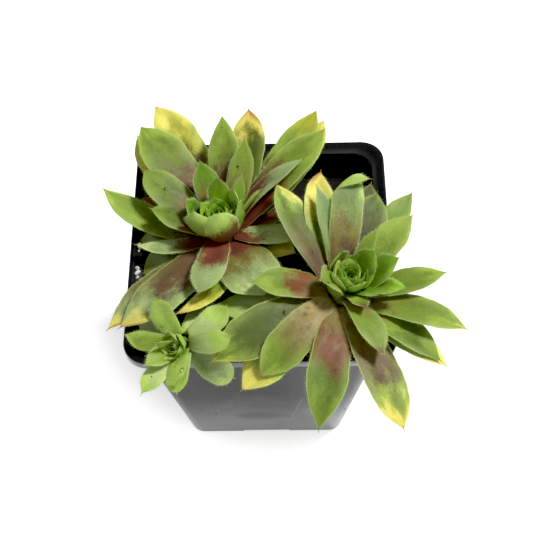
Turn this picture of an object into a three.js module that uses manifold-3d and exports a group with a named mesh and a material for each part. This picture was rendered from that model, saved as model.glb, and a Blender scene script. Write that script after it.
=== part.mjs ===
// Hens and chicks (Sempervivum) in a 9 cm square nursery pot: a pot, its soil and three rosettes.
// Millimetres, +Z up. The origin is the centre of the pot's base, and the front of the pot faces -Y.

import * as THREE from "three";
import { mergeVertices } from "three/addons/utils/BufferGeometryUtils.js";
import Module from "manifold-3d";

const wasm = await Module();
wasm.setup();

// ---------- driving dimensions ----------

const POT_HEIGHT = 90;
const RIM_HALF = 45; // half the width across the rim
const BASE_HALF = 30.2; // half the width across the base
const WAIST_HALF = 41.3; // half the width of the tapered wall, where it meets the rim
const CORNER = 0.178; // corner radius, as a share of the half width
const CORNER_STEPS = 4; // straight steps in each rounded corner
const WALL = 1.2;
const LIP_HEIGHT = 4.4; // skirt of the rim, seen from outside
const LEDGE_HEIGHT = 80; // inner step, below the ribbed collar
const LEDGE_HALF = 39.9;
const COLLAR_TOP = 88.4; // here the collar flares out to the rim
const COLLAR_HALF = 40.6;
const MOUTH_HALF = 43.4; // inner edge of the rim
const RIBS = 3; // fine ribs round the inside of the collar
const RIB = 0.35; // how far they stand out
const RIB_HEIGHT = 1.8;
const EDGE = 0.8; // rounding of the base's and the rim's outer edges
const FLOOR = 2.6; // thickness of the base
const FILLET = 1.3; // slope where the wall meets the floor inside
const CHANNEL_WIDTH = 18; // four drain channels under the base, one from each side
const CHANNEL_DEPTH = 1.2;
const PAD_HALF = 11; // the channels stop at a middle pad of this half width
const DRAIN_RADIUS = 4;
const DRAIN_OFFSET = 17;
const DRAIN_SIDES = 12;

const SOIL_HEIGHT = 77; // level of the potting mix
const SOIL_BUMP = 1.1;
const SOIL_WAVES = [0.11, 0.17, 0.26, 0.37]; // its unevenness, as four waves, radians per mm
const GAP = 0.3; // clearance between pieces that touch

const STEM_RADIUS = 3.4;
const STEM_SIDES = 10;
const STEM_DEPTH = 9; // how deep a stem stands in the soil

const LEAF_SIDES = 6; // corners of a leaf's section
const LEAF_STEPS = 7; // lengths of a leaf between its root and its tip
const LEAF_PEAK = 0.58; // where along its length a leaf is widest
const ROOT_SHARE = 0.5; // width of the root, as a share of the widest place
const CUP = 0.12; // how far the edges rise above the midline, as a share of the half width
const TOP_SHARE = 0.28; // share of the thickness above the blade's middle surface
const FULLNESS = 1.12; // keeps a leaf nearly full thickness until near its tip
const GOLDEN_ANGLE = 137.5;

// ---------- rosettes ----------
// A stem rises from `foot`, in the soil, to the crown at `place`.
// A rosette's own axis leans by `lean` degrees towards the compass direction `toward` (0 is +X, 90 is +Y).
// Its leaves grow from a dome, the crown, of radius `crown` and height `dome`.
// A leaf is [turn, spread, length, width, level, bow, sway, roll]:
//   turn   compass direction round the rosette's axis, degrees
//   spread angle between the leaf and the axis, degrees
//   level  height of its root on the dome, 0 at the foot and 1 at the top
//   bow    how far the middle arches up, and sway how far it curves to the side of growing turn, mm
//   roll   twist about its own length, degrees

const ROSETTES = {
  hen_left: {
    foot: [-13, 4],
    place: [-13, 4, 87],
    lean: 8,
    toward: 110,
    crown: 5.5,
    dome: 12,
    thickness: 0.24,
    bud: 12,
    colour: 0x7d9a4c,
    leaves: [
      // old leaves, lowest on the crown
      [118, 61, 50.5, 15, 0.05, 3, -2],
      [130, 66, 45.5, 15, 0, 3, 1],
      [47, 70, 52, 15, 0, 3, -3],
      [-133, 87, 48, 13, 0.05, 1.5, 0],
      [-110, 77, 35.5, 7.5, 0, 0, 7],
      [-178, 82, 23.5, 9, 0, 1, 0],
      [-153, 89, 25, 10, 0, 1, 0],
      [150, 78, 28.5, 11.5, 0, 1, 0],
      [-21, 84, 22, 12, 0.05, 1, 1],
      // full-grown leaves
      [162, 69, 40.5, 11.5, 0.1, 0, 4.5],
      [129, 62, 44.5, 16, 0.25, 3, 0],
      [77, 63, 44.5, 13, 0.1, 3, -3],
      [51, 69, 53, 13, 0.1, 3, -3],
      [39, 66, 46.5, 14, 0.3, 3, -2],
      [20, 77, 24.5, 11, 0.2, 1, 0],
      [-62, 84, 28, 20, 0.2, 1, 0],
      [-129, 87, 46, 16, 0.2, 2, 3],
      [-164, 77, 25, 6.5, 0.3, 0, 3],
      [-8, 82, 26, 9, 0.35, 1, -2],
      // younger leaves
      [148, 58, 30, 13, 0.4, 2, 2],
      [178, 58, 21.5, 11, 0.5, 1, 1],
      [87, 49, 36.5, 11, 0.45, 2, -1],
      [65, 41, 28.5, 9, 0.6, 1, -2],
      [29, 61, 33, 9, 0.5, 2, 1, 20],
      [-100, 78, 29, 11, 0.5, 1, 1],
      [7, 36, 18.5, 7, 0.65, 1, 0, 30],
      [46, 31, 16.5, 6.5, 0.75, 0, -1],
      // cup round the bud
      [111, 40, 20, 9, 0.75, -1, 0],
      [88, 19, 14.5, 7.5, 0.85, -1, 0],
      [35, 17, 12.5, 8, 0.8, -1, 0],
      [170, 38, 13, 8, 0.8, -1, 0],
      [-172, 26, 14, 9, 0.65, -2, 0],
      [-80, 11, 14, 12.5, 0.6, -2.5, 0],
      [-13, 14, 13, 10, 0.65, -1.5, 0],
    ],
  },
  hen_right: {
    foot: [26.5, -22.5],
    place: [26.5, -22.5, 91],
    lean: 16,
    toward: 25,
    crown: 5.5,
    dome: 11,
    thickness: 0.24,
    bud: 14,
    colour: 0x86a054,
    leaves: [
      // old leaves, lowest on the crown
      [101, 69, 42, 9.5, 0, 3, 0],
      [72, 61, 33, 12, 0.05, 2, 0],
      [-38, 82, 37, 12, 0, 3, -1],
      [-134, 110, 40.5, 14, 0, 3, 0],
      [-178, 108, 37.5, 12, 0, 1, 2],
      // full-grown leaves
      [125, 73, 38.5, 12, 0.25, 1, 1],
      [80, 65, 36, 10, 0.2, 2, 0],
      [57, 64, 40.5, 10.5, 0.15, 2, 0],
      [47, 55, 31, 11, 0.35, 2, 0],
      [-24, 72, 38, 12, 0.2, 3, 0],
      [-40, 82, 34.5, 12, 0.2, 3, 0],
      [-66, 99, 44.5, 14, 0.2, 3, -1],
      [-98, 107, 42, 13.5, 0.2, 4, -1],
      [-131, 109, 35, 13, 0.25, 4, 0],
      [-148, 101, 44, 16, 0.1, 2, -1],
      [-179, 91, 25.5, 12, 0.35, 1, 0],
      // younger leaves
      [110, 64, 32, 7.5, 0.4, 1, -1.5],
      [89, 61, 37, 11, 0.4, 2, 1],
      [3, 61, 30, 10, 0.4, 1, -1],
      [-68, 84, 24, 9.5, 0.5, 2, 0],
      [61, 36, 19, 6, 0.55, 1, 0, 25],
      [-24, 49, 18, 7.5, 0.65, 1, 0],
      [8, 31, 18.5, 10.5, 0.6, 0, 0],
      // cup round the bud
      [-157, 45, 10, 11, 0.6, 2.5, 0],
      [-69, 61, 10.5, 5.5, 0.7, 0, 0],
      [-39, 52, 11.5, 5, 0.75, 0, 0],
      [135, 10, 11.5, 9.5, 0.7, -1, 0],
      [35, 16, 14, 9, 0.75, 0, 0],
    ],
  },
  chick: {
    foot: [-21, -31],
    place: [-24, -38.7, 92],
    lean: 42,
    toward: -125,
    crown: 3,
    dome: 7.5,
    thickness: 0.26,
    bud: 9,
    colour: 0x94b85a,
    leaves: [
      // outer leaves
      [156, 85, 14.5, 8.5, 0, 1, 0],
      [71, 149, 14, 8, 0.1, 0.5, 0],
      [37, 119, 15.5, 8.5, 0.15, 1, -1],
      [-38, 88.5, 17.5, 10, 0.15, 0.6, -0.5],
      [-84, 46, 16, 8.5, 0.25, 1, 0],
      [163, 65, 16.5, 6.5, 0.25, 1, 1],
      // inner leaves
      [112, 81, 14.5, 8.5, 0.4, 1, 0],
      [3, 85, 16, 7, 0.35, 1.8, -1],
      [-121, 38, 20, 7.5, 0.4, 1, 0],
      [-78, 39, 15, 8, 0.5, 1, 0],
      [-144, 21, 14, 6.5, 0.55, 1, 0],
      [75, 22, 8.5, 5, 0.65, 1, 0, 20],
      [133, 4, 10.5, 4.5, 0.7, 1, 0, 20],
    ],
  },
};

// ---------- helpers ----------

const radians = THREE.MathUtils.degToRad;

// A repeatable random number between 0 and 1 for each call, from a seed.
function drawsFrom(seed) {
  let state = seed;
  return () => {
    state = (state * 1664525 + 1013904223) % 4294967296;
    return state / 4294967296;
  };
}

// A closed three.js geometry as a manifold-3d solid.
function solidOf(geometry) {
  const bare = new THREE.BufferGeometry();
  bare.setAttribute("position", geometry.getAttribute("position"));
  bare.setIndex(geometry.index);
  const merged = mergeVertices(bare, 1e-4);
  const mesh = new wasm.Mesh({
    numProp: 3,
    vertProperties: new Float32Array(merged.getAttribute("position").array),
    triVerts: new Uint32Array(merged.index.array),
  });
  return new wasm.Manifold(mesh);
}

// A manifold-3d solid as a three.js geometry.
function geometryOf(solid) {
  const mesh = solid.getMesh();
  const geometry = new THREE.BufferGeometry();
  geometry.setAttribute("position", new THREE.BufferAttribute(mesh.vertProperties, 3));
  geometry.setIndex(new THREE.BufferAttribute(mesh.triVerts, 1));
  return geometry;
}

// Joins geometries into one body. Hollows that the joining seals are filled.
function fuse(geometries) {
  const joined = geometries.map(solidOf).reduce((whole, next) => whole.add(next));
  const bodies = joined.decompose().sort((a, b) => b.volume() - a.volume());
  return bodies[0];
}

function namedMesh(name, geometry, colour, roughness) {
  const material = new THREE.MeshStandardMaterial({ color: colour, roughness, metalness: 0 });
  const mesh = new THREE.Mesh(geometry, material);
  mesh.name = name;
  return mesh;
}

// ---------- square, tapering solids ----------

// Corner points of a rounded square of half width 1, in order round it.
function roundedSquare() {
  const points = [];
  const centre = new THREE.Vector2();
  for (let side = 0; side < 4; side++) {
    const middle = new THREE.Vector2(1 - CORNER, 1 - CORNER).rotateAround(centre, (side * Math.PI) / 2);
    for (let step = 0; step <= CORNER_STEPS; step++) {
      const angle = ((side + step / CORNER_STEPS) * Math.PI) / 2;
      points.push(new THREE.Vector2(CORNER, 0).rotateAround(centre, angle).add(middle));
    }
  }
  return points;
}

// Turns a profile of [half width, height] about Z, on a rounded square instead of a circle.
function squareLathe(profile) {
  const outline = roundedSquare();
  const lathe = new THREE.LatheGeometry(
    profile.map(([half, height]) => new THREE.Vector2(half, height)),
    outline.length,
  );
  const position = lathe.getAttribute("position");
  const rings = profile.length;
  for (let i = 0; i < position.count; i++) {
    const corner = outline[Math.floor(i / rings) % outline.length];
    const [half, height] = profile[i % rings];
    position.setXYZ(i, corner.x * half, corner.y * half, height);
  }
  return lathe;
}

function halfOutside(height) {
  return BASE_HALF + ((WAIST_HALF - BASE_HALF) * height) / (POT_HEIGHT - LIP_HEIGHT);
}

function halfInside(height) {
  return halfOutside(height) - WALL;
}

// ---------- pot ----------

// The ribs inside the collar, from the top one down, as profile points.
function ribProfile() {
  const points = [];
  for (let rib = RIBS; rib >= 1; rib--) {
    const share = rib / (RIBS + 0.5);
    const height = THREE.MathUtils.lerp(LEDGE_HEIGHT, COLLAR_TOP, share);
    const half = THREE.MathUtils.lerp(LEDGE_HALF, COLLAR_HALF, share);
    points.push([half, height + RIB_HEIGHT / 2], [half - RIB, height + RIB_HEIGHT / 6]);
    points.push([half - RIB, height - RIB_HEIGHT / 6], [half, height - RIB_HEIGHT / 2]);
  }
  return points;
}

// Up the outside, over the rim and down the inside.
function potProfile() {
  const lipFoot = POT_HEIGHT - LIP_HEIGHT;
  const lipInside = RIM_HALF - WALL;
  const ledgeFoot = LEDGE_HEIGHT - WALL / 2;
  return [
    [0, 0],
    [BASE_HALF - EDGE, 0],
    [halfOutside(EDGE), EDGE],
    [WAIST_HALF, lipFoot + WALL],
    [lipInside, lipFoot + WALL + 0.2],
    [lipInside, lipFoot],
    [RIM_HALF, lipFoot],
    [RIM_HALF, POT_HEIGHT - EDGE],
    [RIM_HALF - 0.3 * EDGE, POT_HEIGHT - 0.3 * EDGE],
    [RIM_HALF - EDGE, POT_HEIGHT],
    [MOUTH_HALF, POT_HEIGHT],
    [MOUTH_HALF - 0.3, POT_HEIGHT - 0.3],
    [COLLAR_HALF, COLLAR_TOP],
    ...ribProfile(),
    [LEDGE_HALF, LEDGE_HEIGHT + 0.5],
    [LEDGE_HALF - 0.5, LEDGE_HEIGHT],
    [halfInside(ledgeFoot), ledgeFoot],
    [halfInside(FLOOR + FILLET), FLOOR + FILLET],
    [halfInside(FLOOR) - FILLET, FLOOR],
    [0, FLOOR],
  ];
}

// The base stands on four corner feet and a middle pad. Each drain hole opens into a channel.
function pot() {
  let solid = solidOf(squareLathe(potProfile()));
  for (let side = 0; side < 4; side++) {
    const turn = (side * Math.PI) / 2;
    const channel = new THREE.BoxGeometry(2 * RIM_HALF, CHANNEL_WIDTH, 2 * CHANNEL_DEPTH);
    channel.translate(PAD_HALF + RIM_HALF, 0, 0).rotateZ(turn);
    const drain = new THREE.CylinderGeometry(DRAIN_RADIUS, DRAIN_RADIUS, 4 * FLOOR, DRAIN_SIDES);
    drain.rotateX(Math.PI / 2).translate(DRAIN_OFFSET, 0, 0).rotateZ(turn);
    solid = solid.subtract(solidOf(channel)).subtract(solidOf(drain));
  }
  return namedMesh("pot", geometryOf(solid), 0x242526, 0.45);
}

// ---------- soil ----------

// How far the soil's top stands above its level at a place.
function soilRise(x, y) {
  const phase = drawsFrom(11);
  let rise = 0;
  for (const pitch of SOIL_WAVES) {
    rise += Math.sin(pitch * x + 9 * phase()) * Math.cos(pitch * y + 9 * phase());
  }
  return (SOIL_BUMP * rise) / 2;
}

function soil() {
  const bottom = FLOOR + GAP;
  const shoulder = halfInside(SOIL_HEIGHT) - 2 * GAP;
  const foot = halfInside(FLOOR) - FILLET - 2 * GAP;
  const rings = [1, 0.86, 0.7, 0.52, 0.34, 0.17, 0];
  const top = rings.map((share) => [shoulder * share, SOIL_HEIGHT]);
  const profile = [[0, bottom], [foot, bottom], [foot + FILLET, bottom + FILLET + GAP], ...top];
  const lathe = squareLathe(profile);
  const position = lathe.getAttribute("position");
  for (let i = 0; i < position.count; i++) {
    if (position.getZ(i) < SOIL_HEIGHT) continue;
    position.setZ(i, SOIL_HEIGHT + soilRise(position.getX(i), position.getY(i)));
  }
  let solid = solidOf(lathe);
  for (const rosette of Object.values(ROSETTES)) {
    solid = solid.subtract(solidOf(shaft(rosette, GAP)));
  }
  return namedMesh("potting_soil", geometryOf(solid), 0x2a211b, 0.95);
}

// ---------- leaves ----------

// Half width of a leaf at u, from 0 at its root to 1 at its tip, as a share of the widest half width.
function widthShare(u) {
  if (u < LEAF_PEAK) {
    return ROOT_SHARE + (1 - ROOT_SHARE) * Math.sin((Math.PI / 2) * (u / LEAF_PEAK)) ** 1.2;
  }
  return (1 - ((u - LEAF_PEAK) / (1 - LEAF_PEAK)) ** 2.3) ** 0.9;
}

// Height of a leaf's skin over its middle line, at `across` from -1 to 1: a shallow dish, less flat below.
function skinHeight(across, above, halfWidth, thick) {
  const dish = CUP * halfWidth * across ** 2;
  if (above) return dish + TOP_SHARE * thick * (1 - across ** 4);
  return dish + (TOP_SHARE - 1) * thick * (1 - across ** 2) ** 0.8;
}

// A fleshy blade: a cone whose rings are moved onto the leaf's sections, from the root to the tip.
function leaf(rosette, [turn, spread, length, width, level, bow = 0, sway = 0, roll = 0]) {
  const t = radians(turn);
  const s = radians(spread);
  const reach = rosette.crown * Math.sqrt(1 - level ** 2);
  const root = new THREE.Vector3(reach * Math.cos(t), reach * Math.sin(t), level * rosette.dome);
  const along = new THREE.Vector3(Math.cos(t) * Math.sin(s), Math.sin(t) * Math.sin(s), Math.cos(s));
  const up = new THREE.Vector3(-Math.cos(t) * Math.cos(s), -Math.sin(t) * Math.cos(s), Math.sin(s));
  const aside = new THREE.Vector3(-Math.sin(t), Math.cos(t), 0);
  const arch = up.clone().multiplyScalar(bow).addScaledVector(aside, sway);
  const facing = up.clone().applyAxisAngle(along, -radians(roll));

  const cone = new THREE.ConeGeometry(1, 1, LEAF_SIDES, LEAF_STEPS);
  const position = cone.getAttribute("position");
  for (let i = 0; i < position.count; i++) {
    const u = Math.sin((Math.PI / 2) * (position.getY(i) + 0.5));
    const halfWidth = (width / 2) * widthShare(u);
    const thick = rosette.thickness * width * (FULLNESS * (1 - u ** 3) ** 0.8);
    const onAxis = Math.hypot(position.getX(i), position.getZ(i)) < 1e-6;
    const across = onAxis ? 0 : Math.cos(Math.atan2(position.getX(i), position.getZ(i)));
    const height = onAxis ? 0 : skinHeight(across, position.getX(i) > 0, halfWidth, thick);

    const middle = root.clone().addScaledVector(along, u * length).addScaledVector(arch, 4 * u * (1 - u));
    const tangent = along.clone().multiplyScalar(length).addScaledVector(arch, 4 * (1 - 2 * u)).normalize();
    const side = new THREE.Vector3().crossVectors(facing, tangent).normalize();
    const normal = new THREE.Vector3().crossVectors(tangent, side);
    middle.addScaledVector(side, across * halfWidth).addScaledVector(normal, height);
    position.setXYZ(i, middle.x, middle.y, middle.z);
  }
  return cone;
}

// Small leaves of the bud, each a golden angle on from the last and closing over the growing tip.
function budLeaves(rosette, draw) {
  const leaves = [];
  for (let i = 0; i < rosette.bud; i++) {
    const age = i / rosette.bud;
    const turn = i * GOLDEN_ANGLE + 8 * draw();
    const spread = 4 + 26 * age + 3 * draw();
    const length = rosette.crown * (0.95 + 0.65 * age);
    const width = rosette.crown * (0.6 + 0.5 * age);
    leaves.push([turn, spread, length, width, 0.93 - 0.12 * age, -0.4, 0]);
  }
  return leaves;
}

// ---------- rosettes ----------

// The dome that the leaves grow from.
function crown({ crown: radius, dome }) {
  const profile = [new THREE.Vector2(0, -2.5), new THREE.Vector2(radius * 0.7, -2)];
  for (let step = 0; step <= 4; step++) {
    const angle = (step / 4) * (Math.PI / 2);
    profile.push(new THREE.Vector2(radius * Math.cos(angle), dome * Math.sin(angle)));
  }
  return new THREE.LatheGeometry(profile, STEM_SIDES).rotateX(Math.PI / 2);
}

function stemShare(rosette) {
  return rosette.crown / ROSETTES.hen_left.crown;
}

// A round shaft from a stem's foot to inside its crown, or the hole round it with this much clearance.
function shaft(rosette, clearance) {
  const [footX, footY] = rosette.foot;
  const [x, y, z] = rosette.place;
  const foot = new THREE.Vector3(footX, footY, SOIL_HEIGHT - STEM_DEPTH);
  const top = new THREE.Vector3(x, y, z + 1);
  const direction = top.clone().sub(foot).normalize();
  foot.addScaledVector(direction, -clearance);
  const radius = STEM_RADIUS * stemShare(rosette) + clearance;
  const cylinder = new THREE.CylinderGeometry(radius, radius, foot.distanceTo(top), STEM_SIDES);
  const lean = new THREE.Quaternion().setFromUnitVectors(new THREE.Vector3(0, 1, 0), direction);
  const middle = foot.add(top).multiplyScalar(0.5);
  return cylinder.applyQuaternion(lean).translate(middle.x, middle.y, middle.z);
}

// One rosette: a stem, a crown, its leaves and its bud, joined in one body.
function rosette(name, index) {
  const shape = ROSETTES[name];
  const toward = radians(shape.toward);
  const hinge = new THREE.Vector3(-Math.sin(toward), Math.cos(toward), 0);
  const tilt = new THREE.Group();
  tilt.position.set(...shape.place);
  tilt.quaternion.setFromAxisAngle(hinge, radians(shape.lean));
  tilt.updateMatrix();
  const rows = [...shape.leaves, ...budLeaves(shape, drawsFrom(100 + index))];
  const grown = [crown(shape), ...rows.map((row) => leaf(shape, row))];
  grown.forEach((geometry) => geometry.applyMatrix4(tilt.matrix));
  return namedMesh(name, geometryOf(fuse([shaft(shape, 0), ...grown])), shape.colour, 0.5);
}

// ---------- the whole plant in its pot ----------

const plant = new THREE.Group();
plant.add(pot(), soil());
Object.keys(ROSETTES).forEach((name, index) => plant.add(rosette(name, index)));

export default plant;
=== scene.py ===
# %% [markdown]
# # Hens and chicks in a nursery pot
# Two full-grown rosettes of a houseleek and one young one stand in a square black pot. The measured
# model of the pot, the soil and the rosettes is loaded first and never moved. Everything built here
# keeps its places and sizes, and gives each surface the finish that the living plant has.

# %% Load the measured model
import math
import bmesh
import bpy
import numpy as np
from mathutils import Matrix, Vector


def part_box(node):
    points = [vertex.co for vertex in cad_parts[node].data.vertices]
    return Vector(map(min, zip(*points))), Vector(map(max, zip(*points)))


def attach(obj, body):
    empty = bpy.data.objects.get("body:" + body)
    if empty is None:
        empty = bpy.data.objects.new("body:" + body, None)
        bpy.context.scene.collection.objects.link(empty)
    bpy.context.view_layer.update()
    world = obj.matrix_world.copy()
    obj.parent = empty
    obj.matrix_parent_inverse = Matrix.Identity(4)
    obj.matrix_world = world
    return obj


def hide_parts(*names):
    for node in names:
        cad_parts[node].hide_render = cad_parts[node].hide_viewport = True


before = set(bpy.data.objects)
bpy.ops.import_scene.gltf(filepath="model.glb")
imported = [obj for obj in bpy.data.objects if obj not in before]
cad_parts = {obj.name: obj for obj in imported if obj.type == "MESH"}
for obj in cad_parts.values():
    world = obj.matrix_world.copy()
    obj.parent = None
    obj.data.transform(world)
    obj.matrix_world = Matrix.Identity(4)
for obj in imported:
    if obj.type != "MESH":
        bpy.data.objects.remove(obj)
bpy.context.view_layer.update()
MM = 0.001

# %% [markdown]
# ## Camera
# The pot is looked at from its front and well above. A long lens keeps the rosettes in proportion.
# The camera is placed by the compass direction, the height angle and the distance from a point
# inside the pot, so that each of them can be read and changed by itself.

# %% Place the camera
AZIMUTH = 2.30
ELEVATION = 57.84
ROLL = -2.83
DISTANCE = 404.45 * MM
AIM = Vector((1.51, 10.02, 60.0)) * MM
FOCAL_LENGTH = 72.95
SENSOR_WIDTH = 36.0

camera = bpy.data.objects.new("camera", bpy.data.cameras.new("camera"))
camera.data.lens = FOCAL_LENGTH
camera.data.sensor_width = SENSOR_WIDTH
camera.data.clip_start = 0.01
turned = Matrix.Identity(4)
for angle, axis in ((AZIMUTH, "Z"), (90 - ELEVATION, "X"), (ROLL, "Z")):
    turned = turned @ Matrix.Rotation(math.radians(angle), 4, axis)
camera.matrix_world = Matrix.Translation(AIM + turned.to_3x3() @ Vector((0, 0, DISTANCE))) @ turned
bpy.context.scene.collection.objects.link(camera)
bpy.context.scene.camera = camera
print("camera at", tuple(round(v, 3) for v in camera.matrix_world.translation))

# %% [markdown]
# ## Helpers for meshes
# Every piece below is worked out as an array of points and a list of faces. These helpers turn such
# arrays into one named mesh, and can store values on its points. A shader reads those values by
# name, which lets one material colour each leaf in its own way.

# %% Mesh helpers
def piece(name, points, faces, values=None, smooth=True):
    """One mesh object from points in millimetres, with named values stored on its points."""
    mesh = bpy.data.meshes.new(name)
    mesh.from_pydata((np.asarray(points, float) * MM).tolist(), [], faces)
    for key, data in (values or {}).items():
        stored = mesh.attributes.new(key, "FLOAT_VECTOR", "POINT")
        stored.data.foreach_set("vector", np.asarray(data, np.float32).ravel())
    mesh.polygons.foreach_set("use_smooth", [smooth] * len(mesh.polygons))
    mesh.validate()
    made = bpy.data.objects.new(name, mesh)
    bpy.context.scene.collection.objects.link(made)
    return made


def tube_faces(rings, around, start=0):
    """Quads of a closed tube of rings, and the fans that close its two ends on extra centre points."""
    faces = []
    for i in range(rings - 1):
        for k in range(around):
            a, b = start + i * around + k, start + i * around + (k + 1) % around
            faces.append((a, b, b + around, a + around))
    first, last = start + rings * around, start + rings * around + 1
    for k in range(around):
        a, b = start + k, start + (k + 1) % around
        faces.append((b, a, first))
        end = (rings - 1) * around
        faces.append((a + end, b + end, last))
    return faces

# %% [markdown]
# ## Helpers for materials
# A finish is a small network of nodes. These short words place a node, set its sockets from plain
# values or link them to other nodes, so that a recipe reads from top to bottom.

# %% Node helpers
class Recipe:
    """Short words for placing and joining nodes in one node tree."""

    def __init__(self, tree):
        self.tree = tree

    def add(self, kind, sockets=None, **settings):
        made = self.tree.nodes.new("ShaderNode" + kind)
        for key, value in settings.items():
            setattr(made, key, value)
        for key, value in (sockets or {}).items():
            self.put(made.inputs[key], value)
        return made

    def put(self, socket, value):
        if isinstance(value, bpy.types.NodeSocket):
            self.tree.links.new(value, socket)
        elif socket.type == "RGBA":
            socket.default_value = (*value[:3], 1.0)
        else:
            socket.default_value = value

    def math(self, operation, a, b=0.0):
        return self.add("Math", {0: a, 1: b}, operation=operation).outputs[0]

    def times(self, a, b):
        return self.math("MULTIPLY", a, b)

    def plus(self, a, b):
        return self.math("ADD", a, b)

    def minus(self, a, b):
        return self.math("SUBTRACT", a, b)

    def larger(self, a, b):
        return self.math("MAXIMUM", a, b)

    def measure(self, operation, a, b=(0.0, 0.0, 0.0)):
        """One number from two vectors, such as the distance between them."""
        return self.add("VectorMath", {0: a, 1: b}, operation=operation).outputs["Value"]

    def colour(self, factor, a, b, blend="MIX"):
        made = self.add("Mix", data_type="RGBA", blend_type=blend)
        for place, value in ((0, factor), (6, a), (7, b)):
            self.put(made.inputs[place], value)
        return made.outputs[2]

    def ease(self, value, low, high, to_low=0.0, to_high=1.0):
        """value eased from low..high to to_low..to_high, flat outside that stretch."""
        sockets = {0: value, 1: low, 2: high, 3: to_low, 4: to_high}
        return self.add("MapRange", sockets, interpolation_type="SMOOTHSTEP").outputs[0]

    def between(self, noise, low, high):
        """A noise, which mostly stays within 0.3 to 0.7, spread over low..high."""
        return self.ease(noise, 0.3, 0.7, low, high)

    def noise(self, place, scale, detail=3.0, roughness=0.5):
        sockets = {"Vector": place, "Scale": scale, "Detail": detail, "Roughness": roughness}
        return self.add("TexNoise", sockets).outputs["Fac"]

    def stretch(self, place, x, y, z):
        sockets = {0: place, 1: (x, y, z)}
        return self.add("VectorMath", sockets, operation="MULTIPLY").outputs[0]

    def bump(self, height, strength, distance):
        """The tilt of a surface that stands up where the height is large."""
        sockets = {"Strength": strength, "Distance": distance, "Height": height}
        return self.add("Bump", sockets).outputs["Normal"]

    def stored(self, name):
        return self.add("Attribute", attribute_name=name).outputs["Vector"]

    def parts(self, vector):
        return self.add("SeparateXYZ", {0: vector}).outputs[:3]

    def object_place(self):
        return self.add("TexCoord").outputs["Object"]


print("words of a recipe:", ", ".join(word for word in vars(Recipe) if word[0] != "_"))

# %% [markdown]
# Two helpers begin a finish: an empty node group, for an effect that several materials can share,
# and a material with Blender's Principled shader. Two more put a group into a material and link
# what it gives to that shader.

# %% Group and material helpers
def shader_group(name, inputs, outputs):
    """An empty node group with named sockets, its recipe, the values it is given and those it owes."""
    tree = bpy.data.node_groups.new(name, "ShaderNodeTree")
    for direction, sockets in (("INPUT", inputs), ("OUTPUT", outputs)):
        for label, kind in sockets.items():
            tree.interface.new_socket(name=label, in_out=direction, socket_type="NodeSocket" + kind)
    given = tree.nodes.new("NodeGroupInput").outputs
    owed = tree.nodes.new("NodeGroupOutput").inputs
    return tree, Recipe(tree), given, owed


def surface(name, **constants):
    """A material with a Principled shader whose constant values are set on its own sockets."""
    material = bpy.data.materials.new(name)
    material.use_nodes = True
    shader = material.node_tree.nodes["Principled BSDF"]
    for key, value in constants.items():
        shader.inputs[key.replace("_", " ")].default_value = value
    return material, Recipe(material.node_tree), shader


def use_group(recipe, tree, **sockets):
    made = recipe.tree.nodes.new("ShaderNodeGroup")
    made.node_tree = tree
    for key, value in sockets.items():
        recipe.put(made.inputs[key.replace("_", " ")], value)
    return made.outputs


def wear(recipe, shader, skin, **sockets):
    """Link the outputs of a skin to the sockets of the shader that wears it."""
    for key, output in sockets.items():
        recipe.put(shader.inputs[key.replace("_", " ")], skin[output])

# %% [markdown]
# ## Floor and light
# A plant is shown in a catalogue on a white sweep under a bright even sky of soft boxes, so that its
# shadows are faint and the paper burns out to white. High behind the plant the sky is dark, which
# keeps the top of the black rim black. One wide lamp high on the right gives the leaves their
# modelling. The paper glows like a light table and lights the pot from below. Its glow is turned
# down under and round the pot, which paints a soft shadow on the paper there.

# %% Build the sky, the lamp and the floor
SKY_STRENGTH = 0.66
DARK_PATCH = (0.0, 0.50, 0.866)
DARK_STRENGTH = 0.10
DARK_EDGE = (0.66, 0.92)
KEY_PLACE = Vector((0.38, 0.16, 0.74))
KEY_AIM = Vector((0.0, 0.0, 0.08))
KEY_SIZE = 0.17
KEY_POWER = 7.0
PAPER_HALF = 3000.0
PAPER_LEVEL = -0.1
# The first glow is a painted shadow on the paper close to the pot, the second the glow further out.
PAPER_GLOW_AND_PAINTED_SHADOW = ((0.44, 0.44, 0.44), (0.68, 0.68, 0.68))
PAINTED_SHADOW_CENTRE = (0.005, 0.045, 0.0)
PAINTED_SHADOW_EDGE = (0.072, 0.088)
BLACK_LEVEL = 0.013

sky = bpy.data.worlds.new("studio")
sky.use_nodes = True
r = Recipe(sky.node_tree)
toward_patch = r.measure("DOT_PRODUCT", r.add("TexCoord").outputs["Generated"], DARK_PATCH)
background = sky.node_tree.nodes["Background"]
r.put(background.inputs["Strength"], r.ease(toward_patch, *DARK_EDGE, SKY_STRENGTH, DARK_STRENGTH))
r.put(background.inputs["Color"], (1.0, 1.0, 1.0))
bpy.context.scene.world = sky

light = bpy.data.lights.new("key_lamp", "AREA")
light.shape = "DISK"
light.size = KEY_SIZE
light.energy = KEY_POWER
key_lamp = bpy.data.objects.new("key_lamp", light)
key_lamp.location = KEY_PLACE
key_lamp.rotation_euler = (KEY_AIM - KEY_PLACE).to_track_quat("-Z", "Y").to_euler()
bpy.context.scene.collection.objects.link(key_lamp)

view = bpy.context.scene.view_settings
view.view_transform = "Standard"
view.use_curve_mapping = True
view.curve_mapping.black_level = (BLACK_LEVEL, BLACK_LEVEL, BLACK_LEVEL)
view.curve_mapping.update()

corners = [(x * PAPER_HALF, y * PAPER_HALF, PAPER_LEVEL) for x, y in ((-1, -1), (1, -1), (1, 1), (-1, 1))]
floor = piece("floor", corners, [(0, 1, 2, 3)])
floor_paint, r, shader = surface("floor_paper", Base_Color=(0.93, 0.93, 0.93, 1.0), Roughness=0.9,
                                 Emission_Strength=1.0)
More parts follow.
